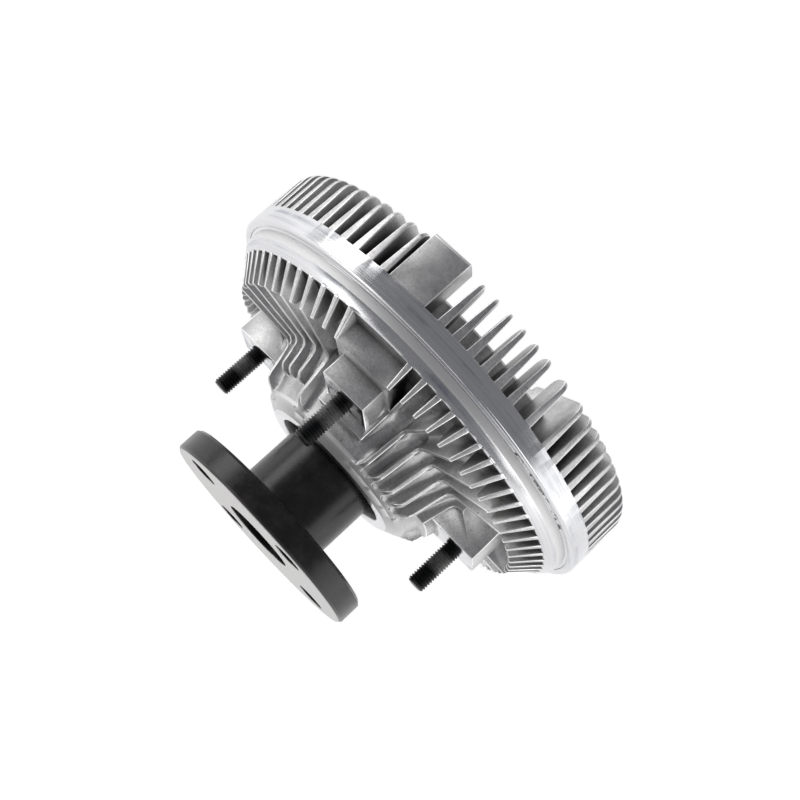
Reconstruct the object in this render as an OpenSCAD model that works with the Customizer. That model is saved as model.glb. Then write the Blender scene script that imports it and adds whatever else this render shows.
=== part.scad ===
// Viscous fan clutch with a bolt-on flange, finned housing and bimetal valve control.
// The rotation axis runs along +Y. The origin is the centre of the flange's mounting face,
// and the finned front cover points to +Y. Angles go round the axis, from +Z towards +X.

/* [Input shaft] */
// Outer diameter of the mounting flange
flange_d = 94; // [92:0.5:98]
// Thickness of the mounting flange
flange_t = 11; // [9:0.5:12]
// Bolt circle diameter of the flange holes
flange_pcd = 70; // [66:0.5:73]
// Number of flange holes
flange_holes = 4; // [4:1:6]
// Diameter of one flange hole
flange_hole_d = 13; // [10:0.5:13.5]
// Angle of the first flange hole
flange_hole_angle = 21.5; // [0:0.5:45]
// Diameter of the pilot bore in the flange
pilot_d = 32; // [28:0.5:34]
// Depth of the pilot bore
pilot_depth = 15; // [10:1:20]
// Diameter of the visible journal
shaft_d = 43.2; // [42.5:0.1:44.5]

/* [Bearing] */
// Bore of the ball bearing
bearing_bore_d = 40; // [38:0.5:40]
// Outer diameter of the ball bearing
bearing_od = 68; // [66:0.5:68]
// Width of the ball bearing
bearing_w = 15; // [14:0.5:16]
// Diameter of one ball
ball_d = 7.9; // [7:0.1:8]
// Number of balls
ball_count = 11; // [9:1:12]

/* [Rear housing] */
// Distance of the hub's rear end from the flange face
nose_y = 38.5; // [37:0.5:40]
// Bore of the recess in the hub's rear end
nose_bore_d = 54; // [52:0.5:56]
// Distance of the flat shelf of the rear fins from the flange face
shelf_y = 62; // [61:0.5:63]
// Distance of the rear lip's edge inside the cover ring
lip_inset = 8.3; // [7.9:0.1:8.7]
// Distance of the machined band inside the cover ring
band_inset = 5; // [4.8:0.1:5.4]
// Thickness of a rear fin at its top
rear_fin_top_t = 1.5; // [1.3:0.1:1.8]
// Thickness of a rear fin at its foot
rear_fin_foot_t = 2.8; // [2.4:0.1:3.2]
// Width of the grooves' round ends at the hub
groove_w = 5; // [4.4:0.1:5.2]

/* [Fan studs] */
// Bolt circle diameter of the fan studs
stud_pcd = 114.3; // [113:0.1:116]
// Nominal thread diameter of the studs
stud_d = 8; // [7:0.5:8]
// Free length of a stud
stud_free = 21.5; // [18:0.5:24]
// Thread engagement of a stud in its boss
stud_grip = 13; // [10:1:13]
// Angle of the first stud
stud_angle = -16; // [-45:0.5:45]
// Distance of the boss faces from the flange face
boss_y = 52; // [51:0.5:53]
// Width of the stud pads
boss_w = 20.8; // [18:0.1:22]
// Width of the steps under the stud pads
step_w = 26.4; // [25:0.1:27]

/* [Front cover] */
// Outer radius of the cover ring
cover_r = 95; // [94.5:0.1:96]
// Distance of the ring's rear edge from the flange face
ring_y = 79.3; // [79:0.1:79.8]
// Distance of the ring's front edge from the flange face
ring_front_y = 88; // [87.5:0.1:88.5]
// Distance of the fin tips from the flange face
fin_tip_y = 110; // [106:0.5:112]
// Number of places for front fins
front_fin_places = 82; // [80:2:84]
// Angle of the first front fin
front_fin_angle = -7.5; // [-9:0.1:-6]
// Thickness of a front fin at its foot
front_fin_foot_t = 3.6; // [3:0.1:3.8]
// Thickness of a front fin at its tip
front_fin_tip_t = 1.9; // [1.5:0.1:2.2]
// Corner radius of the front fins
front_fin_corner_r = 5.5; // [3:0.1:6]
// Radial length of the long front fins
long_fin_l = 45; // [39:0.5:49]
// Radial length of the short front fins
short_fin_l = 33; // [25:0.5:35]
// Radial length of the fins beside the flat pads
stub_fin_l = 9.5; // [8:0.5:11]
// Angle of the first flat pad
pad_angle = -17.8; // [-18.4:0.1:-17]
// Width of the flat pads
pad_w = 17.8; // [16:0.1:18.4]
// Distance of the raised disc's edge inside the cover ring
disc_inset = 13.5; // [13:0.1:14]
// Distance of the raised disc's front face from the flange face
disc_y = 99.4; // [99:0.1:101]

/* [Clutch plate and valve] */
// Distance of the rotor's edge inside the cover ring
rotor_inset = 15; // [13:0.5:16]
// Number of ring-shaped lands on the rotor
land_count = 6; // [4:1:6]
// Diameter of the valve shaft
valve_shaft_d = 6; // [5:0.5:7]
// Distance of the ports from the pump plate's edge
port_inset = 19; // [17:0.5:22]
// Turns of the bimetal coil
coil_turns = 6; // [4:0.5:7]
// Distance between the coil's turns
coil_pitch = 2.6; // [2.2:0.1:2.7]
// Thickness of the bimetal strip
coil_t = 0.9; // [0.6:0.1:1]
// Width of the bimetal strip
coil_w = 7.5; // [6:0.5:8]

/* [Hidden] */
$fn = 96;

// Radial clearances: fixed seats, turning shafts and rings that pass each other
seat_gap = 0.02;
turn_gap = 0.05;
pass_gap = 0.4;
// Overlap of shapes that are joined to one solid
joint_lap = 0.6;

// Colours of the finishes
black_oxide = [0.10, 0.10, 0.11];
cast_grey = [0.70, 0.70, 0.72];
bearing_steel = [0.78, 0.79, 0.80];
plate_zinc = [0.72, 0.70, 0.62];
rubber = [0.08, 0.08, 0.08];
bimetal_tan = [0.66, 0.58, 0.46];

// Places along the axis, from the flange face forward
bearing_y = 47.5;
bearing_end_y = bearing_y + bearing_w;
bearing_mid_y = bearing_y + bearing_w / 2;
circlip_t = 1.75;
hub_end_l = 4;
hub_end_y = bearing_end_y + hub_end_l;
chamber_y = 75.6;
seat_y = 84.5;
rotor_disc_y = chamber_y + 1.2;
rotor_disc_t = 6.4;
rotor_front_y = rotor_disc_y + rotor_disc_t;
land_h = 4.4;
cover_inner_y = rotor_front_y + land_h + pass_gap + 0.2;
plate_ring_t = 0.8;
plate_y = cover_inner_y + plate_ring_t + 0.2;
plate_t = 1.2;
arm_y = plate_y + plate_t + 0.2;
arm_t = 1;
recess_y = disc_y - 1.6;
ceiling_y = recess_y - 3.6;
boss_front_y = recess_y + 1;
clip_y = boss_front_y + 0.3;
clip_t = 0.7;
coil_y = clip_y + clip_t + 0.4;
valve_end_y = coil_y + coil_w;

// Radii of the bearing
bearing_bore_r = bearing_bore_d / 2;
bearing_or = bearing_od / 2;
ball_r = ball_d / 2;
ball_pitch_r = (bearing_bore_r + bearing_or) / 2;
inner_land_r = ball_pitch_r - 2.8;
outer_land_r = ball_pitch_r + 2.8;
race_gap = turn_gap;

// Radii of the housing and cover
rotor_bore_r = 12;
rotor_hole_ring_r = 32;
rotor_hole_r = 4;
nose_r = 34;
nose_edge_r = 2;
flare_r = 40;
flare_l = 3.9;
flare_y = nose_y + flare_l;
barrel_r = 45.2;
barrel_end_r = 48.4;
shelf_in_r = 51;
lip_r = cover_r - lip_inset;
lip_rise = 9.7;
lip_y = shelf_y + lip_rise;
shelf_out_r = lip_r - 8.7;
band_r = cover_r - band_inset;
joint_wall = 3;
flange_seat_r = cover_r - joint_wall;
chamber_wall = 6;
chamber_r = flange_seat_r - chamber_wall;
pocket_r = 58.6;
web_in_r = 36;
web_y = 48.2;
short_ridge_y = 49.6;
stud_r = stud_d / 2;
stud_grip_r = 0.45 * stud_d;
boss_half = 10;
step_r = lip_r - 10.3;
rear_pitch = 360 / 72;
seal_r = flange_seat_r - 3.5;
seal_wire_r = 1.1;
disc_r = cover_r - disc_inset;
long_fin_r = cover_r - long_fin_l;
short_fin_r = cover_r - short_fin_l;
stub_corner_r = 3.5;
fin_corner_r = 3;
recess_r = 27;
front_pitch = 360 / front_fin_places;

// Rings on the rotor and in the cover alternate, with a passing gap on both sides
rotor_r = cover_r - rotor_inset;
land_out_r = rotor_r - 3.6;
land_w = 1.5;
land_pitch = 2 * (land_w + pass_gap);
function land_r(i) = land_out_r - land_w - i * land_pitch;
function cover_land_r(i) = land_r(i) - pass_gap - land_w;

// Radii of the pump plate, inside the innermost ring
plate_r = cover_land_r(land_count - 1) - 2;
reservoir_r = plate_r - 4;
port_r = plate_r - port_inset;
plate_groove = 1.2;

// Points of an arc, with its centre, radius and two angles
function arc(c, r, a0, a1, n = 6) =
    [for (i = [0 : n]) c + r * [cos(a0 + (a1 - a0) * i / n), sin(a0 + (a1 - a0) * i / n)]];

function backwards(points) = [for (i = [len(points) - 1 : -1 : 0]) points[i]];

// The clutch is drawn about +Z and laid along +Y
module installed() {
    rotate([-90, 0, 0]) children();
}

// Turns the children's +X to an angle round the axis, from straight up
module clocked(angle) {
    rotate([0, 0, angle - 90]) children();
}

// Ring with a rectangular section
module ring(r_in, r_out, y0, y1) {
    rotate_extrude()
        translate([r_in, y0])
            square([r_out - r_in, y1 - y0]);
}

// Straight radial fin with draft, whose tip points forward or, with a lower tip, to the rear
module radial_fin(r_in, r_out, foot_t, tip_t, foot_y, tip_y) {
    tip_r = tip_t / 2;
    way = tip_y > foot_y ? 1 : -1;
    crown = [for (p = arc([0, 0], tip_r, 0, 180, 4)) [p[0], tip_y + way * (p[1] - tip_r)]];
    outline = concat([[foot_t / 2, foot_y]], crown, [[-foot_t / 2, foot_y]]);
    translate([r_in, 0, 0])
        rotate([90, 0, 90])
            linear_extrude(height = r_out - r_in)
                polygon(outline);
}

// Forged steel shaft with its flange, pilot bore and bolt holes
module input_shaft() {
    edge = 1.2;
    fillet = 4;
    shaft_r = shaft_d / 2;
    flange_r = flange_d / 2;
    press_r = rotor_bore_r - seat_gap;
    seat_r = bearing_bore_r - seat_gap;
    section = concat(
        [[0, 0], [flange_r - edge, 0], [flange_r, edge], [flange_r, flange_t - edge],
         [flange_r - edge, flange_t]],
        arc([shaft_r + fillet, flange_t + fillet], fillet, 270, 180),
        [[shaft_r, bearing_y - 0.8], [shaft_r - 0.8, bearing_y], [seat_r, bearing_y],
         [seat_r, bearing_end_y], [press_r, bearing_end_y], [press_r, rotor_front_y],
         [press_r - 1, rotor_front_y + 1], [0, rotor_front_y + 1]]);
    color(black_oxide) installed() difference() {
        rotate_extrude() polygon(section);
        translate([0, 0, -1]) cylinder(r = pilot_d / 2, h = pilot_depth + 1);
        for (i = [0 : flange_holes - 1])
            clocked(flange_hole_angle + i * 360 / flange_holes)
                translate([flange_pcd / 2, 0, -1])
                    cylinder(d = flange_hole_d, h = flange_t + 2);
    }
}

// Section of a ball groove, cut out of the bearing rings
module race_groove() {
    rotate_extrude()
        translate([ball_pitch_r, bearing_mid_y])
            circle(r = ball_r + race_gap);
}

module bearing_inner_ring() {
    color(bearing_steel) installed() difference() {
        ring(bearing_bore_r, inner_land_r, bearing_y, bearing_end_y);
        race_groove();
    }
}

module bearing_outer_ring() {
    color(bearing_steel) installed() difference() {
        ring(outer_land_r, bearing_or - seat_gap, bearing_y, bearing_end_y);
        race_groove();
    }
}

module bearing_balls() {
    color(bearing_steel) installed()
        for (i = [0 : ball_count - 1])
            clocked(i * 360 / ball_count)
                translate([ball_pitch_r, 0, bearing_mid_y])
                    sphere(r = ball_r);
}

// Machined ring with one round pocket for each ball
module bearing_cage() {
    cage_half_w = ball_r + 1;
    ball_hole_r = ball_r + 0.15;
    color(bearing_steel) installed() difference() {
        ring(inner_land_r + pass_gap, outer_land_r - pass_gap, bearing_mid_y - cage_half_w,
             bearing_mid_y + cage_half_w);
        for (i = [0 : ball_count - 1])
            clocked(i * 360 / ball_count)
                translate([ball_pitch_r - 6, 0, bearing_mid_y])
                    rotate([0, 90, 0]) cylinder(r = ball_hole_r, h = 12);
    }
}

// Rubber-faced washer held by the outer ring at one side of the bearing
module bearing_seal(y0) {
    color(rubber) installed()
        ring(inner_land_r + pass_gap, outer_land_r, y0, y0 + 1.2);
}

module bearing_rear_seal() {
    bearing_seal(bearing_y + 0.4);
}

module bearing_front_seal() {
    bearing_seal(bearing_end_y - 1.6);
}

// Internal snap ring with two eyes, in front of the outer ring
module bearing_circlip() {
    clip_in_r = bearing_or - 3.2;
    clip_out_r = bearing_or + 1.8;
    gap_half = 5;
    y0 = bearing_end_y + seat_gap;
    color(black_oxide) installed() difference() {
        union() {
            difference() {
                ring(clip_in_r, clip_out_r, y0, y0 + circlip_t);
                clocked(180) translate([0, -gap_half, y0 - 1])
                    cube([clip_out_r + 1, 2 * gap_half, circlip_t + 2]);
            }
            for (side = [-1, 1])
                clocked(180) translate([clip_in_r - 0.4, side * (gap_half + 2.2), y0])
                    cylinder(r = 3, h = circlip_t);
        }
        for (side = [-1, 1])
            clocked(180) translate([clip_in_r - 0.4, side * (gap_half + 2.2), y0 - 1])
                cylinder(r = 1.3, h = circlip_t + 2);
    }
}

// Drive disc with ring-shaped lands, pressed on the shaft's front end
module rotor() {
    hub_r = 20;
    color(cast_grey) installed() difference() {
        union() {
            ring(rotor_bore_r, hub_r, bearing_end_y + seat_gap, rotor_front_y);
            ring(hub_r - joint_lap, rotor_r, rotor_disc_y, rotor_front_y);
            for (i = [0 : land_count - 1])
                ring(land_r(i), land_r(i) + land_w, rotor_front_y - joint_lap, rotor_front_y + land_h);
        }
        for (i = [0 : 3])
            clocked(i * 90)
                translate([rotor_hole_ring_r, 0, rotor_disc_y - 1])
                    cylinder(r = rotor_hole_r, h = rotor_disc_t + 2);
    }
}

// Rounded edge of the hub's rear end
nose_edge = arc([nose_r - nose_edge_r, nose_y + nose_edge_r], nose_edge_r, 270, 310, 4);

// Crest line of the rear fins and ridges: hub's nose, steep barrel, flat shelf and lip
crest = concat(
    nose_edge,
    [[flare_r, flare_y], [barrel_r - 2.4, flare_y + 1], [barrel_r - 0.9, flare_y + 2.2],
     [barrel_r, flare_y + 4.2], [barrel_end_r, shelf_y - 2.6], [barrel_end_r + 0.8, shelf_y - 1],
     [shelf_in_r, shelf_y], [shelf_out_r, shelf_y], [lip_r, lip_y]]);

// Floor line between the rear ridges and fins: a ramp up the barrel, then nearly flat out to the lip
valley = [[flare_r - 1.6, flare_y - 0.85], [flare_r - 1.5, flare_y + 1.6], [flare_r + 5, shelf_y - 3],
          [flare_r + 8.6, shelf_y + 3], [flare_r + 12, shelf_y + 6], [pocket_r + 3.4, shelf_y + 8],
          [pocket_r + 8.4, shelf_y + 9.6], [lip_r - 1.5, lip_y + 0.6]];

// Solid of revolution below the crest line, from a radius out to the lip
module crest_body(r_in) {
    corner = 2;
    top = [for (p = crest) if (p[0] > r_in + corner) p];
    on_shelf = r_in > shelf_in_r;
    start = on_shelf ? arc([r_in + corner, shelf_y + corner], corner, 180, 270, 4)
                     : [[r_in, nose_y + 1.5]];
    rotate_extrude()
        polygon(concat([[r_in, lip_y + 3]], start, top, [[lip_r, lip_y + 3]]));
}

// Thin ridge between two grooves with round inner ends, which runs out to a fin on the shelf
module ridge() {
    groove_r = groove_w / 2;
    groove_c = (flare_r + 0.4) * [cos(rear_pitch), sin(rear_pitch)];
    foot_r = flare_r - 1.8;
    half_pitch = tan(rear_pitch);
    side = concat([[web_in_r, web_in_r * half_pitch + 0.1], [foot_r, foot_r * half_pitch + 0.1]],
                  arc(groove_c, groove_r, 205, 275, 4),
                  [[barrel_r - 1, 0.9], [barrel_end_r, 0.9], [shelf_in_r + 8, rear_fin_top_t / 2]]);
    translate([0, 0, nose_y])
        linear_extrude(height = lip_y + 2 - nose_y)
            polygon(concat(side, [for (p = backwards(side)) [p[0], -p[1]]]));
}

// Ridge that starts with a round corner, some way in front of the hub's nose
module short_ridge() {
    corner = 4;
    corner_r = barrel_r + 1.8 - corner;
    corner_y = short_ridge_y + corner;
    envelope = concat([[web_in_r, lip_y + 2], [web_in_r, short_ridge_y]],
                      arc([corner_r, corner_y], corner, 270, 360),
                      [[lip_r + 1, corner_y], [lip_r + 1, lip_y + 2]]);
    intersection() {
        ridge();
        rotate_extrude() polygon(envelope);
    }
}

// Solid part of the hub's barrel behind one stud pad
module barrel_web() {
    edge = tan(3 * rear_pitch);
    out_r = shelf_in_r + 1;
    outline = [web_in_r * [1, -edge], out_r * [1, -edge], out_r * [1, edge], web_in_r * [1, edge]];
    translate([0, 0, web_y])
        linear_extrude(height = lip_y + 2 - web_y)
            polygon(outline);
}

// Pad of one fan stud
module stud_pad() {
    translate([stud_pcd / 2 - boss_half - 4, -boss_w / 2, boss_y])
        cube([2 * boss_half + 4, boss_w, chamber_y - boss_y - 2]);
}

// Wide step under a stud pad, out to the rear fins
module pad_step() {
    step_l = 24;
    translate([step_r - step_l, -step_w / 2, shelf_y])
        cube([step_l, step_w, lip_y - shelf_y + 2]);
}

// Hub bore with bearing seat and circlip groove, fluid chamber and seal groove of the rear housing
module rear_room() {
    seat_r = bearing_or;
    clip_y0 = bearing_end_y;
    clip_y1 = bearing_end_y + circlip_t + 2 * seat_gap;
    seal_gap = seal_wire_r + 0.2;
    hub_wall = 4.5;
    floor_y = chamber_y - 2.2;
    section = [[0, nose_y - 1], [nose_bore_d / 2, nose_y - 1], [nose_bore_d / 2, bearing_y - seat_gap],
               [seat_r, bearing_y - seat_gap], [seat_r, clip_y0], [seat_r + 2, clip_y0],
               [seat_r + 2, clip_y1], [seat_r, clip_y1], [seat_r, hub_end_y],
               [seat_r + hub_wall, hub_end_y], [seat_r + hub_wall + 3.5, hub_end_y + 4.2],
               [seat_r + hub_wall + 6.5, floor_y], [pocket_r, floor_y], [pocket_r + 2.9, chamber_y],
               [chamber_r, chamber_y], [chamber_r, seat_y],
               [seal_r - seal_gap, seat_y], [seal_r - seal_gap, seat_y - 2 * seal_wire_r],
               [seal_r + seal_gap, seat_y - 2 * seal_wire_r], [seal_r + seal_gap, seat_y + 1],
               [0, seat_y + 1]];
    rotate_extrude() polygon(section);
}

// Rear aluminium casting with hub, bearing seat, fins, ridges and stud bosses
module rear_housing() {
    section = concat(
        [[0, nose_y]], nose_edge, valley,
        [[lip_r - 0.6, lip_y], [lip_r, lip_y + 0.3], [lip_r + 0.8, lip_y + 1], [band_r, lip_y + 3.9],
         [band_r, ring_y - 0.2], [flange_seat_r - 0.9, ring_y - 0.2], [flange_seat_r, ring_y + 0.7],
         [flange_seat_r, seat_y], [0, seat_y]]);
    color(cast_grey) installed() difference() {
        union() {
            rotate_extrude() polygon(section);
            intersection() {
                crest_body(nose_r + 1.5);
                for (q = [0 : 3])
                    clocked(stud_angle + q * 90) {
                        barrel_web();
                        rotate([0, 0, 3 * rear_pitch]) rear_fin(shelf_in_r);
                        for (i = [5 : 2 : 13])
                            rotate([0, 0, i * rear_pitch]) {
                                if (q % 2 == 1 && i > 5 && i < 13) short_ridge();
                                else ridge();
                                rear_fin(shelf_in_r);
                            }
                    }
            }
            intersection() {
                crest_body(shelf_out_r - 2.5);
                for (q = [0 : 3])
                    clocked(stud_angle + q * 90)
                        for (i = concat([for (k = [2 : 2 : 16]) k], [15], q % 2 == 0 ? [] : [-1, 0, 1]))
                            rotate([0, 0, i * rear_pitch]) rear_fin(shelf_out_r - 6);
            }
            for (q = [0 : 3])
                clocked(stud_angle + q * 90) stud_pad();
            for (turn = [0, 180])
                clocked(stud_angle + turn) pad_step();
        }
        for (q = [0 : 3])
            clocked(stud_angle + q * 90)
                translate([stud_pcd / 2, 0, boss_y - 1])
                    cylinder(r = stud_grip_r + seat_gap, h = stud_grip + 1.5);
        rear_room();
    }
}

// Thin rear fin, from a radius out to the lip
module rear_fin(r_in) {
    radial_fin(r_in, lip_r + 1, rear_fin_foot_t, rear_fin_top_t, lip_y + 2, shelf_y - 1);
}

// Black studs with chamfered ends, screwed into the bosses
module fan_studs() {
    edge = 1;
    section = [[0, -stud_free], [stud_r - edge, -stud_free], [stud_r, edge - stud_free], [stud_r, 0],
               [stud_grip_r, 0], [stud_grip_r, stud_grip - edge], [stud_grip_r - edge, stud_grip],
               [0, stud_grip]];
    color(black_oxide) installed()
        for (q = [0 : 3])
            clocked(stud_angle + q * 90)
                translate([stud_pcd / 2, 0, boss_y])
                    rotate_extrude() polygon(section);
}

// Rubber ring that seals the rolled joint between housing and cover
module body_seal_ring() {
    color(rubber) installed()
        rotate_extrude()
            translate([seal_r, seat_y - seal_wire_r])
                circle(r = seal_wire_r - seat_gap);
}

// Solid of revolution of the front fins, with rounded top corners and feet inside the casting
module fin_envelope(r_in, inner_corner) {
    outer_corner = front_fin_corner_r;
    wall_r = disc_r - 1.5;
    foot_y = ring_front_y - 1;
    foot = r_in > wall_r ? [[r_in, foot_y]]
                         : [[r_in, disc_y - 2], [wall_r, disc_y - 2], [wall_r, foot_y]];
    rotate_extrude()
        polygon(concat(
            foot, [[cover_r, foot_y]],
            arc([cover_r - outer_corner, fin_tip_y - outer_corner], outer_corner, 0, 90),
            arc([r_in + inner_corner, fin_tip_y - inner_corner], inner_corner, 90, 180, 3)));
}

// Every second front fin of both halves, from one place to another
module front_fins(first, last, r_in) {
    for (turn = [0, 180])
        for (i = [first : 2 : last])
            clocked(front_fin_angle + turn + i * front_pitch)
                radial_fin(r_in - 1, cover_r + 1, front_fin_foot_t, front_fin_tip_t,
                           ring_front_y - joint_lap, fin_tip_y);
}

// Front aluminium casting with ring, raised disc, fins, flat pads, reservoir and valve bore
module front_cover() {
    bore_r = valve_shaft_d / 2 + turn_gap;
    groove_r = valve_shaft_d / 2 + 1.75;
    boss_r = 8;
    rim_bore_r = flange_seat_r + seat_gap;
    land_bore_r = land_out_r + pass_gap + 0.5;
    stub_r = cover_r - stub_fin_l;
    last_fin = front_fin_places / 2 - 4;
    section = [[rim_bore_r, seat_y + seat_gap], [rim_bore_r, ring_y + 0.9], [rim_bore_r - 0.5, ring_y],
               [cover_r - 0.9, ring_y], [cover_r, ring_y + 0.9], [cover_r, ring_front_y],
               [disc_r + 1, ring_front_y], [disc_r, ring_front_y + 1], [disc_r, disc_y - 0.8],
               [disc_r - 0.8, disc_y], [recess_r + 1.6, disc_y], [recess_r, recess_y],
               [boss_r, recess_y], [boss_r - 1, boss_front_y], [bore_r, boss_front_y],
               [bore_r, ceiling_y + 2.9], [groove_r, ceiling_y + 2.9], [groove_r, ceiling_y + 1.1],
               [bore_r, ceiling_y + 1.1], [bore_r, ceiling_y], [reservoir_r, ceiling_y],
               [reservoir_r, plate_y + plate_t], [plate_r + seat_gap, plate_y + plate_t],
               [plate_r + seat_gap, plate_y], [plate_r + plate_groove, plate_y],
               [plate_r + plate_groove, plate_y - plate_ring_t - seat_gap],
               [plate_r, plate_y - plate_ring_t - seat_gap], [plate_r, cover_inner_y],
               [land_bore_r, cover_inner_y], [land_bore_r, seat_y + seat_gap]];
    color(cast_grey) installed() union() {
        rotate_extrude() polygon(section);
        for (i = [0 : land_count - 1])
            ring(cover_land_r(i), cover_land_r(i) + land_w, rotor_front_y + pass_gap,
                 cover_inner_y + joint_lap);
        intersection() {
            fin_envelope(stub_r, stub_corner_r);
            union() {
                front_fins(0, 4, stub_r);
                front_fins(1, 5, stub_r);
                front_fins(6.45, 6.45, stub_r);
            }
        }
        intersection() {
            fin_envelope(short_fin_r, fin_corner_r);
            front_fins(8, last_fin, short_fin_r);
        }
        intersection() {
            fin_envelope(long_fin_r, fin_corner_r);
            front_fins(9, last_fin, long_fin_r);
        }
        for (turn = [0, 180])
            clocked(pad_angle + turn) flat_pad();
        coil_post();
    }
}

// Flat pad on the cover ring, with a small bevel along its front edge
module flat_pad() {
    pad_depth = 10;
    bevel = 1.2;
    pad_r = cover_r - 0.5;
    pad_y = fin_tip_y + 1.2;
    outline = [[pad_r, ring_front_y - joint_lap], [pad_r, pad_y - bevel], [pad_r - bevel, pad_y],
               [pad_r - pad_depth, pad_y], [pad_r - pad_depth, ring_front_y - joint_lap]];
    translate([0, pad_w / 2, 0])
        rotate([90, 0, 0])
            linear_extrude(height = pad_w)
                polygon(outline);
}

// Slotted post that holds the coil's outer end
module coil_post() {
    post_r = coil_end_r + coil_t / 2;
    post_w = 6;
    slot_in_r = post_r - coil_t - pass_gap;
    post_in_r = slot_in_r - 0.85;
    clocked(coil_end_angle) difference() {
        translate([post_in_r, -post_w / 2, recess_y - joint_lap])
            cube([post_r + 3 - post_in_r, post_w, valve_end_y - recess_y + 1.2]);
        translate([slot_in_r, -post_w, coil_y - 0.3])
            cube([coil_t + 2 * pass_gap, 2 * post_w, coil_w + 4]);
    }
}

// Sheet partition between reservoir and working chamber, with a fill port and a return port
module pump_plate() {
    color(plate_zinc) installed() difference() {
        translate([0, 0, plate_y]) cylinder(r = plate_r, h = plate_t);
        for (turn = [0, 180])
            clocked(port_angle + turn)
                translate([port_r, 0, plate_y - 1])
                    cylinder(r = 3, h = plate_t + 2);
    }
}

// Snap ring that holds the pump plate in the cover
module pump_plate_ring() {
    color(black_oxide) installed() difference() {
        ring(plate_r - 3.5, plate_r + plate_groove - seat_gap, plate_y - plate_ring_t, plate_y);
        clocked(30) translate([0, -4, plate_y - 2]) cube([plate_r + 4, 8, 4]);
    }
}

// Small block behind the pump plate that drives fluid to the return port
module scavenge_wiper() {
    color(plate_zinc) installed()
        clocked(port_angle + 12)
            translate([port_r - 5, -3, plate_y - 1.4])
                cube([12, 6, 1.4]);
}

// Angle of the ports, and of the valve arm when it covers them
port_angle = 60;

// Turned steel pin between the bimetal coil and the valve arm
module valve_shaft() {
    shaft_r = valve_shaft_d / 2;
    pin_r = 2;
    collar_r = 5;
    neck_r = shaft_r - 0.6;
    section = [[0, arm_y], [pin_r, arm_y], [pin_r, arm_y + arm_t], [collar_r, arm_y + arm_t],
               [collar_r, ceiling_y - 0.2], [shaft_r, ceiling_y - 0.2], [shaft_r, clip_y],
               [neck_r, clip_y], [neck_r, clip_y + clip_t], [shaft_r, clip_y + clip_t],
               [shaft_r, valve_end_y - 0.5], [shaft_r - 0.5, valve_end_y], [0, valve_end_y]];
    color(bearing_steel) installed() difference() {
        rotate_extrude() polygon(section);
        clocked(coil_start_angle)
            translate([-10, -coil_t / 2 - 0.05, coil_y - 0.1])
                cube([20, coil_t + 0.1, coil_w + 2]);
    }
}

// Leaf that slides over the pump plate and covers both ports
module valve_arm() {
    arm_half_w = 4.5;
    color(plate_zinc) installed() difference() {
        union() {
            clocked(port_angle)
                translate([-port_r, -arm_half_w, arm_y])
                    cube([2 * port_r, 2 * arm_half_w, arm_t]);
            for (turn = [0, 180])
                clocked(port_angle + turn)
                    translate([port_r, 0, arm_y])
                        cylinder(r = arm_half_w, h = arm_t);
            translate([0, 0, arm_y]) cylinder(r = 8, h = arm_t);
        }
        translate([0, 0, arm_y - 1]) cylinder(r = 2 + seat_gap, h = arm_t + 2);
    }
}

// Small rubber ring round the valve shaft
module valve_shaft_seal() {
    wire_r = 0.82;
    color(rubber) installed()
        rotate_extrude()
            translate([valve_shaft_d / 2 + turn_gap + wire_r, ceiling_y + 2])
                circle(r = wire_r);
}

// Open washer in the valve shaft's neck
module valve_clip() {
    clip_in_r = valve_shaft_d / 2 - 0.6 + seat_gap;
    y0 = clip_y + seat_gap;
    color(black_oxide) installed() difference() {
        ring(clip_in_r, 5.2, y0, clip_y + clip_t - seat_gap);
        clocked(200) translate([0, -2, y0 - 1]) cube([10, 4, 3]);
    }
}

// The coil's middle line: a flat spiral from the shaft to the post
coil_start_r = valve_shaft_d / 2 + 1.6;
coil_start_angle = 40;
coil_end_r = coil_start_r + coil_turns * coil_pitch;
coil_end_angle = coil_start_angle + 360 * coil_turns;
function coil_edge(side) =
    let (steps = floor(coil_turns * 40))
    [for (i = [0 : steps])
        let (share = i / steps)
        let (a = 360 * coil_turns * share)
        let (r = coil_start_r + coil_turns * coil_pitch * share + side * coil_t / 2)
        r * [cos(a), sin(a)]];

// Flat spiral of bimetal strip, with a tab in the shaft's slot
module bimetal_coil() {
    color(bimetal_tan) installed()
        clocked(coil_start_angle)
            translate([0, 0, coil_y]) {
                linear_extrude(height = coil_w)
                    polygon(concat(coil_edge(1), backwards(coil_edge(-1))));
                translate([-2, -coil_t / 2, 0]) cube([coil_start_r + 2, coil_t, coil_w]);
            }
}

input_shaft();
bearing_inner_ring();
bearing_outer_ring();
bearing_balls();
bearing_cage();
bearing_rear_seal();
bearing_front_seal();
bearing_circlip();
rotor();
rear_housing();
fan_studs();
body_seal_ring();
front_cover();
pump_plate();
pump_plate_ring();
scavenge_wiper();
valve_shaft();
valve_arm();
valve_shaft_seal();
valve_clip();
bimetal_coil();
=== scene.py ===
import math

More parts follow.
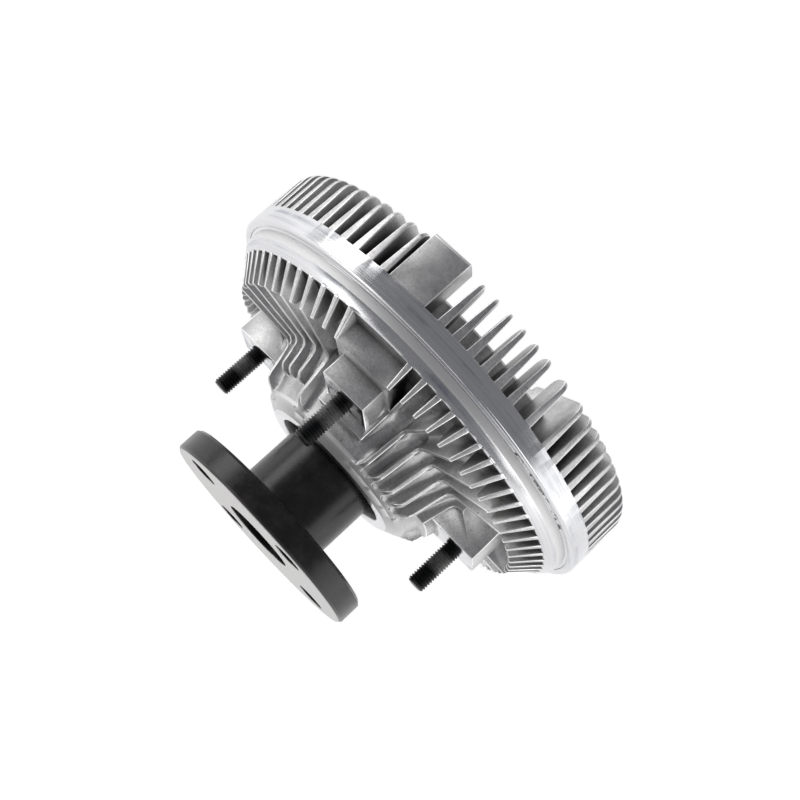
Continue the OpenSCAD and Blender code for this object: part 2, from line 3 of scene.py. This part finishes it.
import bmesh
import bpy
from mathutils import Matrix, Vector
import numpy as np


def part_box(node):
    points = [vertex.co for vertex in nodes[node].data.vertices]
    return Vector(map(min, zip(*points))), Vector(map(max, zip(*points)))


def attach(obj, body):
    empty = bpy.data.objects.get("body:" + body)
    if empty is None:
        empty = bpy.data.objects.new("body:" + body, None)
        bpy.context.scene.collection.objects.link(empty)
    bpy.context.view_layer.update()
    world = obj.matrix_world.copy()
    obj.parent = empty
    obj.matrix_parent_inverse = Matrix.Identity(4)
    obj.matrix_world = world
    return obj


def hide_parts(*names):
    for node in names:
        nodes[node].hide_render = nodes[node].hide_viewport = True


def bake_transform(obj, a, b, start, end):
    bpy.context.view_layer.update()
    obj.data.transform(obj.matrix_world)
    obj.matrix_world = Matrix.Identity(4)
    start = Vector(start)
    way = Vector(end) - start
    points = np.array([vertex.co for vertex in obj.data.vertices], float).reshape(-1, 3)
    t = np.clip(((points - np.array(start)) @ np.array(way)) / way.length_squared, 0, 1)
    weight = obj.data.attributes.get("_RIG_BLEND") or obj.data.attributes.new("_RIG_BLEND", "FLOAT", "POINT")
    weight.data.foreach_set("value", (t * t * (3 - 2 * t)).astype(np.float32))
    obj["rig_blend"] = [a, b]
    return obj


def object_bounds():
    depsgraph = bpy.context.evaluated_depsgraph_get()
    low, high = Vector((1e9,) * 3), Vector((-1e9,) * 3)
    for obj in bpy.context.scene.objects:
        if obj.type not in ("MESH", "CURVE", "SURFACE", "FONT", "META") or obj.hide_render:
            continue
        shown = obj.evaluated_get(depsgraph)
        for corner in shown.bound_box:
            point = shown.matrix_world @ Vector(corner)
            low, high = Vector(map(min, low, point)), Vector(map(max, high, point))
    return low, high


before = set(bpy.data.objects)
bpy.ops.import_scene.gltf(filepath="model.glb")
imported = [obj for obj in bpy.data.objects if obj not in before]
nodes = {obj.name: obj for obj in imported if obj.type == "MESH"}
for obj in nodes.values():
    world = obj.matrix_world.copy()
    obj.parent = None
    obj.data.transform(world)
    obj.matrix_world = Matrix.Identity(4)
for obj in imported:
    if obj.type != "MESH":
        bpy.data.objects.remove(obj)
cad_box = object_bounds()


# Input shaft
# A steel forging with the mounting flange and the journal in one piece. It is turned, drilled and
# blackened, and its mounting face is then machined bright again.
MM = 0.001
black_skin = (0.003, 0.003, 0.003, 1)
black_worn = (0.030, 0.024, 0.020, 1)
black_rough = (0.27, 0.40)
black_ior = 1.5
rubbed_size = 5 * MM
bare_steel = (0.50, 0.49, 0.48, 1)
bare_depth = 0.3 * MM
shaft_mark_spacing = 0.25 * MM
shaft_mark_depth = 0.02 * MM


def put(tree, kind, inputs=(), **settings):
    """Adds a node with its settings, and feeds its inputs with values or with other nodes' sockets."""
    node = tree.nodes.new(kind)
    for key, value in settings.items():
        setattr(node, key, value)
    for socket, value in dict(inputs).items():
        if isinstance(value, bpy.types.NodeSocket):
            tree.links.new(value, node.inputs[socket])
        else:
            node.inputs[socket].default_value = value
    return node


def new_finish(name, metallic):
    """An empty material with its node tree and its shader."""
    material = bpy.data.materials.new(name)
    material.use_nodes = True
    tree = material.node_tree
    shader = tree.nodes["Principled BSDF"]
    shader.inputs["Metallic"].default_value = metallic
    return material, tree, shader


def feed(tree, shader, **sockets):
    """Links the shader's inputs, named in small letters with _ for a space."""
    for name, socket in sockets.items():
        tree.links.new(socket, shader.inputs[name.replace("_", " ").title()])


def math_node(tree, operation, a, b=0.5, c=0.5):
    """The result of one sum, from numbers or sockets."""
    return put(tree, "ShaderNodeMath", {0: a, 1: b, 2: c}, operation=operation).outputs[0]


def blend_colours(tree, share, a, b):
    """Colour a where the share is 0, colour b where it is 1."""
    return put(tree, "ShaderNodeMix", {"Factor": share, 6: a, 7: b}, data_type="RGBA").outputs[2]


def blend_values(tree, share, a, b):
    """Number a where the share is 0, number b where it is 1."""
    return put(tree, "ShaderNodeMix", {"Factor": share, 2: a, 3: b}, data_type="FLOAT").outputs[0]


def grain(tree, size, detail=3.0, roughness=0.6):
    """Cloudy noise in the piece's own space, with features of a real size in metres."""
    place = put(tree, "ShaderNodeTexCoord").outputs["Object"]
    noise = put(tree, "ShaderNodeTexNoise",
                {"Vector": place, "Scale": 1 / size, "Detail": detail, "Roughness": roughness})
    return noise.outputs["Fac"]


def spread(tree, value, low, high):
    """Stretches a range of values to the whole range from 0 to 1."""
    return put(tree, "ShaderNodeMapRange", {"Value": value, "From Min": low, "From Max": high}).outputs[0]


def round_axis(tree):
    """Direction from the clutch's axis, distance from it and place along it, of the shaded point."""
    place = put(tree, "ShaderNodeTexCoord").outputs["Object"]
    parts = put(tree, "ShaderNodeSeparateXYZ", {0: place}).outputs
    across = put(tree, "ShaderNodeCombineXYZ", {"X": parts["X"], "Y": parts["Z"]}).outputs[0]
    radius = put(tree, "ShaderNodeVectorMath", {0: across}, operation="LENGTH").outputs["Value"]
    way = put(tree, "ShaderNodeVectorMath", {0: across}, operation="NORMALIZE").outputs["Vector"]
    return way, radius, parts["Y"]


def turning_marks(tree, spacing):
    """Fine rings that a lathe tool leaves round the clutch's axis."""
    way, radius, along = round_axis(tree)
    parts = put(tree, "ShaderNodeSeparateXYZ", {0: way}).outputs
    lines = put(tree, "ShaderNodeCombineXYZ",
                {"X": parts["X"], "Y": parts["Y"], "Z": math_node(tree, "DIVIDE", radius, spacing)})
    noise = put(tree, "ShaderNodeTexNoise",
                {"Vector": lines.outputs[0], "W": math_node(tree, "DIVIDE", along, spacing),
                 "Scale": 1.0, "Detail": 3.0, "Roughness": 0.6}, noise_dimensions="4D")
    return noise.outputs["Fac"]


def relief(tree, height, depth, strength):
    """Surface normal of a relief with a real depth in metres."""
    bump = put(tree, "ShaderNodeBump", {"Height": height, "Distance": depth, "Strength": strength})
    return bump.outputs[0]


def dress(piece, material):
    """Gives every face of a piece one material."""
    piece.data.materials.clear()
    piece.data.materials.append(material)


def blackened_steel():
    """Satin black skin with rubbed patches, and bare turned steel on the mounting face."""
    material, tree, shader = new_finish("blackened_forging", metallic=0.0)
    shader.inputs["IOR"].default_value = black_ior
    _, _, along = round_axis(tree)
    pattern_share = spread(tree, grain(tree, rubbed_size, detail=6.0, roughness=0.7), 0.45, 0.8)
    marks = turning_marks(tree, shaft_mark_spacing)
    bare = math_node(tree, "LESS_THAN", along, bare_depth)
    skin = blend_colours(tree, pattern_share, black_skin, black_worn)
    skin_rough = blend_values(tree, pattern_share, *black_rough)
    bare_rough = spread(tree, marks, -1.2, 3.4)
    feed(tree, shader,
         metallic=bare,
         base_color=blend_colours(tree, bare, skin, bare_steel),
         roughness=blend_values(tree, bare, skin_rough, bare_rough),
         normal=relief(tree, marks, shaft_mark_depth, 0.35))
    return material


dress(nodes["input_shaft"], blackened_steel())


# Ball bearing
# Two ground rings with a row of balls in a brass cage, rubber-faced seals at both sides and a
# spring circlip that keeps the outer ring in the housing's hub.
ground_light = (0.66, 0.66, 0.67, 1)
ground_dark = (0.48, 0.48, 0.49, 1)
brass_light = (0.72, 0.55, 0.28, 1)
brass_dark = (0.50, 0.36, 0.16, 1)
phosphate_light = (0.14, 0.14, 0.145, 1)
phosphate_dark = (0.06, 0.06, 0.062, 1)
metal_cloud_size = 6 * MM
metal_mark_depth = 0.01 * MM
rubber_light = (0.030, 0.030, 0.030, 1)
rubber_dark = (0.014, 0.014, 0.014, 1)
rubber_rough = (0.55, 0.8)
bloom_size = 3 * MM
rubber_grain_size = 0.4 * MM
rubber_grain_depth = 0.02 * MM


def worked_metal(name, light, dark, roughness, mark_spacing):
    """Turned, ground or rolled metal: two close shades in clouds, and fine marks round the axis."""
    material, tree, shader = new_finish(name, metallic=1.0)
    clouds = spread(tree, grain(tree, metal_cloud_size), 0.3, 0.7)
    marks = turning_marks(tree, mark_spacing)
    feed(tree, shader,
         base_color=blend_colours(tree, clouds, dark, light),
         roughness=blend_values(tree, marks, roughness - 0.12, roughness + 0.12),
         normal=relief(tree, marks, metal_mark_depth, 0.3))
    return material


def moulded_rubber(name):
    """Matt black rubber with a faint bloom."""
    material, tree, shader = new_finish(name, metallic=0.0)
    bloom = grain(tree, bloom_size, detail=4.0)
    feed(tree, shader,
         base_color=blend_colours(tree, bloom, rubber_dark, rubber_light),
         roughness=blend_values(tree, bloom, *rubber_rough),
         normal=relief(tree, grain(tree, rubber_grain_size), rubber_grain_depth, 0.4))
    return material


ground_steel = worked_metal("ground_steel", ground_light, ground_dark,
                            roughness=0.24, mark_spacing=0.12 * MM)
cage_brass = worked_metal("cage_brass", brass_light, brass_dark, roughness=0.32, mark_spacing=0.3 * MM)
spring_steel = worked_metal("phosphated_spring_steel", phosphate_light, phosphate_dark,
                            roughness=0.5, mark_spacing=0.4 * MM)
seal_rubber = moulded_rubber("seal_rubber")
for ground_piece in ("bearing_inner_ring", "bearing_outer_ring", "bearing_balls"):
    dress(nodes[ground_piece], ground_steel)
for seal in ("bearing_rear_seal", "bearing_front_seal"):
    dress(nodes[seal], seal_rubber)
dress(nodes["bearing_cage"], cage_brass)
dress(nodes["bearing_circlip"], spring_steel)


# Rotor
# The drive disc, an aluminium casting with ring-shaped lands on its rim that shear the fluid.
# It is turned all over and pressed on the shaft's front end.
turned_light = (0.74, 0.74, 0.75, 1)
turned_dark = (0.58, 0.58, 0.60, 1)
dress(nodes["rotor"],
      worked_metal("turned_aluminium", turned_light, turned_dark, roughness=0.34, mark_spacing=0.3 * MM))


# Rear housing
# An aluminium die casting with a hub, ribs that run over the hub's barrel and out to the rim, and four
# stud bosses. Its rim, boss faces and hub end are machined, and the rest keeps its cast skin.
scene = bpy.context.scene
cast_light = (0.85, 0.84, 0.825, 1)
cast_dark = (0.41, 0.405, 0.41, 1)
cast_rough = (0.38, 0.52)
cast_speck = (0.22, 0.215, 0.22, 1)
speck_share = 0.65
# Rim colour: partly bare worn metal, partly a painted highlight.
rim_wear_and_highlight = (0.97, 0.97, 0.96, 1)
rim_rough = 0.34
machined_light = (0.76, 0.76, 0.76, 1)
machined_dark = (0.58, 0.58, 0.60, 1)
# Painted dark reflection colour for the machined faces.
painted_dark_reflection = (0.28, 0.30, 0.36, 1)
satin_bright = (0.78, 0.775, 0.77, 1)
satin_rough = 0.62
# The grime colour is both the real stain along the joint and the painted shade in the crevices.
grime_and_painted_shade = (0.07, 0.068, 0.066, 1)
crevice_share = 0.76
crevice_reach = 8 * MM
stained_side = (0.42, 0.80)
cloud_size = 14 * MM
skin_size = 0.9 * MM
skin_depth = 0.05 * MM
speck_size = 1.6 * MM
dark_reflection_size = 22 * MM
stain_size = 3.5 * MM
cut_spacing = 0.3 * MM
dark_reflection_streak_spacing = 2.5 * MM
corner_r = 0.35 * MM
corner_angle = math.radians(35)
flat_angle = math.radians(0.5)
merge_gap = 0.002 * MM
rim_joint = [(90.8 * MM, 93.2 * MM, 77.7 * MM, 80.7 * MM)]
rear_machined = [(86.2 * MM, 93 * MM, 71.6 * MM, 85 * MM), (48.6 * MM, 68 * MM, 51.9 * MM, 52.1 * MM),
                 (26.9 * MM, 33 * MM, 38.4 * MM, 39 * MM)]
rear_satin = [(89.6 * MM, 90.4 * MM, 75.5 * MM, 79 * MM), (32 * MM, 41 * MM, 38.6 * MM, 43 * MM)]


def within(tree, value, low, high):
    """1 where a value lies between two limits, and 0 elsewhere."""
    above = math_node(tree, "GREATER_THAN", value, low)
    below = math_node(tree, "LESS_THAN", value, high)
    return math_node(tree, "MULTIPLY", above, below)


def zone_mask(tree, radius, along, zones):
    """1 in each zone, given as (from radius, to radius, from, to along the axis), and 0 elsewhere."""
    mask = 0.0
    for inner, outer, start, end in zones:
        ring = within(tree, radius, inner, outer)
        zone = math_node(tree, "MULTIPLY", ring, within(tree, along, start, end))
        mask = math_node(tree, "MAXIMUM", zone, mask)
    return mask


def cast_aluminium(name, machined_zones, satin_zones):
    """Grey cast skin with painted shade in its crevices and rims painted bright as wear and as a painted
    highlight, with machined zones that carry painted dark reflections, satin zones and a stain along the
    rolled joint."""
    material, tree, shader = new_finish(name, metallic=1.0)
    way, radius, along = round_axis(tree)
    machined = zone_mask(tree, radius, along, machined_zones)
    satin = zone_mask(tree, radius, along, satin_zones)

    clouds = spread(tree, grain(tree, cloud_size, detail=5.0), 0.3, 0.7)
    skin = grain(tree, skin_size, detail=4.0, roughness=0.7)
    shade = math_node(tree, "MULTIPLY", clouds, spread(tree, skin, 0.2, 0.6))
    cast = blend_colours(tree, shade, cast_dark, cast_light)
    specks = spread(tree, grain(tree, speck_size, detail=2.0), 0.66, 0.74)
    cast = blend_colours(tree, math_node(tree, "MULTIPLY", specks, speck_share), cast, cast_speck)
    # Painted shade: ambient occlusion darkens the crevices towards the grime colour, where shade falls.
    openness = put(tree, "ShaderNodeAmbientOcclusion", {"Distance": crevice_reach}, samples=8).outputs["AO"]
    crevice = math_node(tree, "MULTIPLY", spread(tree, openness, 0.85, 0.2), crevice_share)
    cast = blend_colours(tree, crevice, cast, grime_and_painted_shade)
    # Rims painted near white, partly as wear and partly as a painted highlight, less so in crevices where
    # shade falls.
    rim = put(tree, "ShaderNodeAttribute", attribute_name="bevelled_rim").outputs["Fac"]
    rim = math_node(tree, "MULTIPLY", rim, spread(tree, openness, 0.25, 0.6))
    cast = blend_colours(tree, rim, cast, rim_wear_and_highlight)
    roughness = blend_values(tree, rim, blend_values(tree, skin, *cast_rough), rim_rough)

    marks = turning_marks(tree, cut_spacing)
    turned = blend_colours(tree, spread(tree, marks, 0.3, 0.7), machined_dark, machined_light)
    # Painted dark reflection: bluish dark streaks in patches on the machined faces.
    pattern_share = spread(tree, turning_marks(tree, dark_reflection_streak_spacing), 0.5, 0.72)
    patches = spread(tree, grain(tree, dark_reflection_size, detail=4.0), 0.43, 0.60)
    turned = blend_colours(tree, math_node(tree, "MULTIPLY", pattern_share, patches), turned, painted_dark_reflection)
    finish = blend_colours(tree, satin, blend_colours(tree, machined, cast, turned), satin_bright)
    roughness = blend_values(tree, machined, roughness, spread(tree, marks, -0.6, 4.4))
    height = blend_values(tree, machined, skin, math_node(tree, "MULTIPLY", marks, 0.5))

    side = put(tree, "ShaderNodeSeparateXYZ", {0: way}).outputs["X"]
    seam = math_node(tree, "MULTIPLY", zone_mask(tree, radius, along, rim_joint),
                     within(tree, side, *stained_side))
    stain = math_node(tree, "MULTIPLY", seam, spread(tree, grain(tree, stain_size, detail=5.0), 0.47, 0.53))
    feed(tree, shader,
         base_color=blend_colours(tree, stain, finish, grime_and_painted_shade),
         roughness=blend_values(tree, satin, roughness, satin_rough),
         normal=relief(tree, height, skin_depth, 0.4))
    return material


def rounded_casting(name, node, material):
    """A merged copy of a CAD casting, which shows in place of it. Its outer corners are rounded, and their
    faces are marked as rims, which the material paints brighter as wear and as a painted highlight."""
    shape = bmesh.new()
    shape.from_mesh(nodes[node].data)
    wear_and_highlight = shape.faces.layers.float.new("bevelled_rim")
    bmesh.ops.remove_doubles(shape, verts=shape.verts, dist=merge_gap)
    bmesh.ops.dissolve_limit(shape, angle_limit=flat_angle, verts=shape.verts, edges=shape.edges)
    corners = [e for e in shape.edges
               if e.is_convex and e.calc_face_angle() > corner_angle and e.calc_length() > corner_r]
    rims = bmesh.ops.bevel(shape, geom=corners, offset=corner_r, offset_type="OFFSET", segments=2,
                           profile=0.5, affect="EDGES", clamp_overlap=False)["faces"]
    for face in shape.faces:
        face.smooth = True
    for face in rims:
        face[wear_and_highlight] = 1.0
    mesh = bpy.data.meshes.new(name)
    shape.to_mesh(mesh)
    shape.free()
    mesh.set_sharp_from_angle(angle=corner_angle)
    piece = bpy.data.objects.new(name, mesh)
    scene.collection.objects.link(piece)
    dress(piece, material)
    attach(piece, "clutch_housing")
    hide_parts(node)


rounded_casting("rear_casting", "rear_housing", cast_aluminium("rear_skin", rear_machined, rear_satin))


# Fan studs
# Four steel studs that carry the fan. Their M8 threads are rolled, and they are blackened and screwed
# into the bosses of the rear housing.
thread_r = 4 * MM
thread_core_r = 3.3 * MM
thread_pitch = 1.25 * MM
thread_flat = 0.12
end_step = 0.2 * MM
weld_gap = 0.001 * MM
stud_count = 4
stud_circle_r = 57.15 * MM
first_stud_angle = math.radians(-16)
rows_per_pitch = 14
thread_columns = 32
# Crest colour: partly bare steel, partly a painted highlight.
crest_wear_and_highlight = (0.40, 0.39, 0.38, 1)
thread_rough = (0.26, 0.42)
thread_ior = 1.4
thread_patch_size = 2 * MM
stud_low, stud_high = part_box("fan_studs")
thread_length = stud_high.y - stud_low.y
thread_sizes = {"Thread radius": thread_r, "Core radius": thread_core_r, "Pitch": thread_pitch,
                "Start": stud_low.y, "Length": thread_length, "Columns": thread_columns,
                "Rows": round(thread_length / thread_pitch * rows_per_pitch),
                "Studs": stud_count, "Circle radius": stud_circle_r, "First angle": first_stud_angle}


def blackened_thread():
    """Black skin that is worn thin along the crests of the thread, which are also painted brighter as a
    highlight.
    """
    material, tree, shader = new_finish("blackened_thread", metallic=0.0)
    shader.inputs["IOR"].default_value = thread_ior
    crest = put(tree, "ShaderNodeAttribute", attribute_name="thread_crest").outputs["Fac"]
    patches = spread(tree, grain(tree, thread_patch_size, detail=5.0), 0.3, 0.7)
    pattern_share = blend_values(tree, patches, 0.25, 0.6)
    # Crests painted brighter and metallic, partly as wear and partly as a painted highlight.
    wear_and_highlight = math_node(tree, "MULTIPLY", spread(tree, crest, 0.8, 1.0), pattern_share)
    feed(tree, shader,
         metallic=wear_and_highlight,
         base_color=blend_colours(tree, wear_and_highlight, black_skin, crest_wear_and_highlight),
         roughness=blend_values(tree, patches, *thread_rough))
    return material


def geometry_tree(name, inputs):
    """A geometry node tree with named number inputs, and the sockets that hold them."""
    tree = bpy.data.node_groups.new(name, "GeometryNodeTree")
    tree.interface.new_socket("Geometry", in_out="OUTPUT", socket_type="NodeSocketGeometry")
    for label, value in inputs.items():
        kind = "NodeSocketInt" if isinstance(value, int) else "NodeSocketFloat"
        tree.interface.new_socket(label, in_out="INPUT", socket_type=kind)
    return tree, tree.nodes.new("NodeGroupInput").outputs


def thread_tree(material):
    """Rolled thread: a grid wrapped round the stud whose radius follows the helix, closed at both ends,
    and set on each stud's place."""
    tree, size = geometry_tree("rolled_thread", thread_sizes)
    grid = put(tree, "GeometryNodeMeshGrid", {"Size X": 1.0, "Size Y": 1.0, "Vertices X": size["Columns"],
                                              "Vertices Y": size["Rows"]})
    position = put(tree, "GeometryNodeInputPosition").outputs[0]
    where = put(tree, "ShaderNodeSeparateXYZ", {0: position}).outputs
    turn = math_node(tree, "ADD", where["X"], 0.5)
    share = math_node(tree, "ADD", where["Y"], 0.5)
    along = math_node(tree, "MULTIPLY", share, size["Length"])
    helix = math_node(tree, "SUBTRACT", math_node(tree, "DIVIDE", along, size["Pitch"]), turn)
    flank = math_node(tree, "PINGPONG", math_node(tree, "MULTIPLY", helix, 2.0), 1.0)
    crest = spread(tree, flank, thread_flat, 1 - thread_flat)
    depth = math_node(tree, "SUBTRACT", size["Thread radius"], size["Core radius"])
    radius = math_node(tree, "MULTIPLY_ADD", crest, depth, size["Core radius"])
    edge = math_node(tree, "MINIMUM", along, math_node(tree, "SUBTRACT", size["Length"], along))
    bevel = math_node(tree, "ADD", edge, math_node(tree, "SUBTRACT", size["Core radius"], end_step))
    radius = math_node(tree, "MINIMUM", radius, bevel)
    radius = math_node(tree, "MULTIPLY", radius, math_node(tree, "GREATER_THAN", edge, weld_gap))
    angle = math_node(tree, "MULTIPLY", turn, 2 * math.pi)
    wrapped = put(tree, "ShaderNodeCombineXYZ",
                  {"X": math_node(tree, "MULTIPLY", radius, math_node(tree, "COSINE", angle)),
                   "Y": math_node(tree, "ADD", along, size["Start"]),
                   "Z": math_node(tree, "MULTIPLY", radius, math_node(tree, "SINE", angle))})
    shaped = put(tree, "GeometryNodeSetPosition",
                 {"Geometry": grid.outputs["Mesh"], "Position": wrapped.outputs[0]})
    marked = put(tree, "GeometryNodeStoreNamedAttribute",
                 {"Geometry": shaped.outputs[0], "Name": "thread_crest", "Value": crest}, data_type="FLOAT")
    closed = put(tree, "GeometryNodeMergeByDistance", {"Geometry": marked.outputs[0], "Distance": weld_gap})

    step = math_node(tree, "DIVIDE", 2 * math.pi, size["Studs"])
    index = put(tree, "GeometryNodeInputIndex").outputs[0]
    clock = math_node(tree, "ADD", math_node(tree, "MULTIPLY", index, step), size["First angle"])
    spot = put(tree, "ShaderNodeCombineXYZ",
               {"X": math_node(tree, "MULTIPLY", size["Circle radius"], math_node(tree, "SINE", clock)),
                "Z": math_node(tree, "MULTIPLY", size["Circle radius"], math_node(tree, "COSINE", clock))})
    points = put(tree, "GeometryNodePoints", {"Count": size["Studs"], "Position": spot.outputs[0]})
    studs = put(tree, "GeometryNodeInstanceOnPoints",
                {"Points": points.outputs[0], "Instance": closed.outputs[0]})
    solid = put(tree, "GeometryNodeRealizeInstances", {"Geometry": studs.outputs[0]})
    smooth = put(tree, "GeometryNodeSetShadeSmooth", {"Geometry": solid.outputs[0]})
    coated = put(tree, "GeometryNodeSetMaterial", {"Geometry": smooth.outputs[0], "Material": material})
    put(tree, "NodeGroupOutput", {"Geometry": coated.outputs[0]})
    return tree


def grown_piece(name, tree, inputs):
    """The plain mesh that a geometry node tree makes with these inputs, as a new piece."""
    carrier = bpy.data.objects.new(name, bpy.data.meshes.new(name))
    scene.collection.objects.link(carrier)
    modifier = carrier.modifiers.new(name, "NODES")
    modifier.node_group = tree
    for item in tree.interface.items_tree:
        if item.in_out == "INPUT":
            modifier[item.identifier] = inputs[item.name]
    evaluated = carrier.evaluated_get(bpy.context.evaluated_depsgraph_get())
    mesh = bpy.data.meshes.new_from_object(evaluated)
    carrier.modifiers.clear()
    carrier.data = mesh
    return carrier


studs = grown_piece("threaded_studs", thread_tree(blackened_thread()), thread_sizes)
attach(studs, "clutch_housing")
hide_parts("fan_studs")


# Body seal ring
# A rubber O-ring in the groove of the rear housing. It is pressed flat when the cover's rim is rolled
# over, and keeps the fluid in.
dress(nodes["body_seal_ring"], seal_rubber)


# Front cover
# An aluminium die casting with a machined ring, a raised disc, two flat pads and tall radial fins.
# Its rim is rolled over the rear housing, which holds the two together.
cover_machined = [(89 * MM, 96 * MM, 79 * MM, 88.05 * MM)]
cover_satin = []
rounded_casting("cover_casting", "front_cover", cast_aluminium("cover_skin", cover_machined, cover_satin))


# Pump plate, its snap ring and the wiper
# A zinc-plated sheet with two ports, held in the cover by a spring ring, and a small block that
# drives fluid to the return port.
zinc_light = (0.70, 0.67, 0.58, 1)
zinc_dark = (0.55, 0.53, 0.46, 1)
plated_sheet = worked_metal("zinc_plated_sheet", zinc_light, zinc_dark,
                            roughness=0.36, mark_spacing=0.6 * MM)
dress(nodes["pump_plate"], plated_sheet)
dress(nodes["scavenge_wiper"], plated_sheet)
dress(nodes["pump_plate_ring"], spring_steel)


# Valve and bimetal coil
# A turned steel pin in the cover, kept by an O-ring and an open washer, carries the plated valve arm behind
# and a flat spiral of bimetal strip in front, which turns it as the air gets hot. The strip's outer end is
# held in the cover's post, so the coil winds up.
strip_light = (0.62, 0.54, 0.42, 1)
strip_dark = (0.44, 0.37, 0.28, 1)
coil_inner_r = 4.6 * MM
coil_outer_r = 19.8 * MM
dress(nodes["valve_arm"], plated_sheet)
dress(nodes["valve_shaft"], ground_steel)
dress(nodes["valve_shaft_seal"], seal_rubber)
dress(nodes["valve_clip"], spring_steel)
coil = bpy.data.objects.new("wound_coil", nodes["bimetal_coil"].data.copy())
scene.collection.objects.link(coil)
dress(coil, worked_metal("bimetal_strip", strip_light, strip_dark, roughness=0.38, mark_spacing=0.5 * MM))
coil_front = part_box("bimetal_coil")[1].y
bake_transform(coil, "valve", "clutch_housing", start=(0, coil_front, 0), end=(0, coil_front, coil_outer_r))
for point, share in zip(coil.data.vertices, coil.data.attributes["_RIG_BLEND"].data):
    outward = (math.hypot(point.co.x, point.co.z) - coil_inner_r) / (coil_outer_r - coil_inner_r)
    share.value = min(max(outward, 0.0), 1.0)
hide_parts("bimetal_coil")


# Floor
# A plain sheet of pale paper under the clutch, which lies on its ring with the axis level.
# It is lit from below like a light table.
floor_colour = (0.90, 0.90, 0.90, 1)
floor_rough = 0.9
floor_glow = 0.68
floor_half = 3.0
fibre_size = 1.5 * MM
fibre_depth = 0.05 * MM


def studio_paper():
    """Pale matt paper with a hardly visible grain, lit from below."""
    material, tree, shader = new_finish("studio_paper", metallic=0.0)
    shader.inputs["Roughness"].default_value = floor_rough
    shader.inputs["Base Color"].default_value = floor_colour
    shader.inputs["Emission Color"].default_value = floor_colour
    shader.inputs["Emission Strength"].default_value = floor_glow
    feed(tree, shader, normal=relief(tree, grain(tree, fibre_size), fibre_depth, 0.2))
    return material


floor_mesh = bpy.data.meshes.new("floor")
floor_sheet = bmesh.new()
bmesh.ops.create_grid(floor_sheet, x_segments=1, y_segments=1, size=floor_half,
                      matrix=Matrix.Translation((0, 0, cad_box[0].z)))
floor_sheet.to_mesh(floor_mesh)
floor_sheet.free()
floor = bpy.data.objects.new("floor", floor_mesh)
scene.collection.objects.link(floor)
dress(floor, studio_paper())


# Studio light
# A grey ceiling, white walls at the right and strip lights at the left, so that the bright metal has
# something to mirror. The floor's glow keeps the shadow faint.
ceiling = (0.232, 0.234, 0.246, 1)
aim = Vector((0, 0.06, 0))
world = bpy.data.worlds.new("studio")
scene.world = world
world.use_nodes = True
world.node_tree.nodes["Background"].inputs["Color"].default_value = ceiling


def soft_box(name, place, width, height, radiance):
    """A rectangular area light that faces the clutch, with its brightness as seen by the metal."""
    light = bpy.data.lights.new(name, "AREA")
    light.shape = "RECTANGLE"
    light.size, light.size_y = width, height
    light.energy = radiance * math.pi * width * height
    lamp = bpy.data.objects.new(name, light)
    lamp.location = place
    lamp.rotation_euler = (aim - Vector(place)).to_track_quat("-Z", "Y").to_euler()
    scene.collection.objects.link(lamp)


soft_box("right_wall", (1.0, 0.06, 0.20), width=1.6, height=0.66, radiance=1.2)
soft_box("left_strip", (-1.0, 0.20, 0.32), width=1.6, height=0.44, radiance=2.5)
soft_box("left_rear_strip", (-0.70, -0.85, 0.06), width=0.4, height=0.28, radiance=2.2)
soft_box("right_rear_wall", (0.95, -0.72, 0.62), width=0.5, height=1.0, radiance=1.5)


# Camera
# It looks down on the clutch from the flange side, as the photograph does, with the same turn of
# the picture.
camera_place = Vector((-6.1, -43.7, 575.3)) * MM
view_direction = Vector((0.0073, 0.2090, -0.9779))
picture_up = Vector((-0.7387, 0.6602, 0.1356))
camera_data = bpy.data.cameras.new("camera")
camera_data.sensor_width = 36
camera_data.lens = 65.25
camera_data.clip_start = 0.01
camera = bpy.data.objects.new("camera", camera_data)
scene.collection.objects.link(camera)
back = -view_direction.normalized()
right = picture_up.cross(back).normalized()
camera_turn = Matrix((right, back.cross(right), back)).transposed().to_4x4()
camera.matrix_world = Matrix.Translation(camera_place) @ camera_turn
scene.camera = camera
scene.view_settings.view_transform = "Standard"
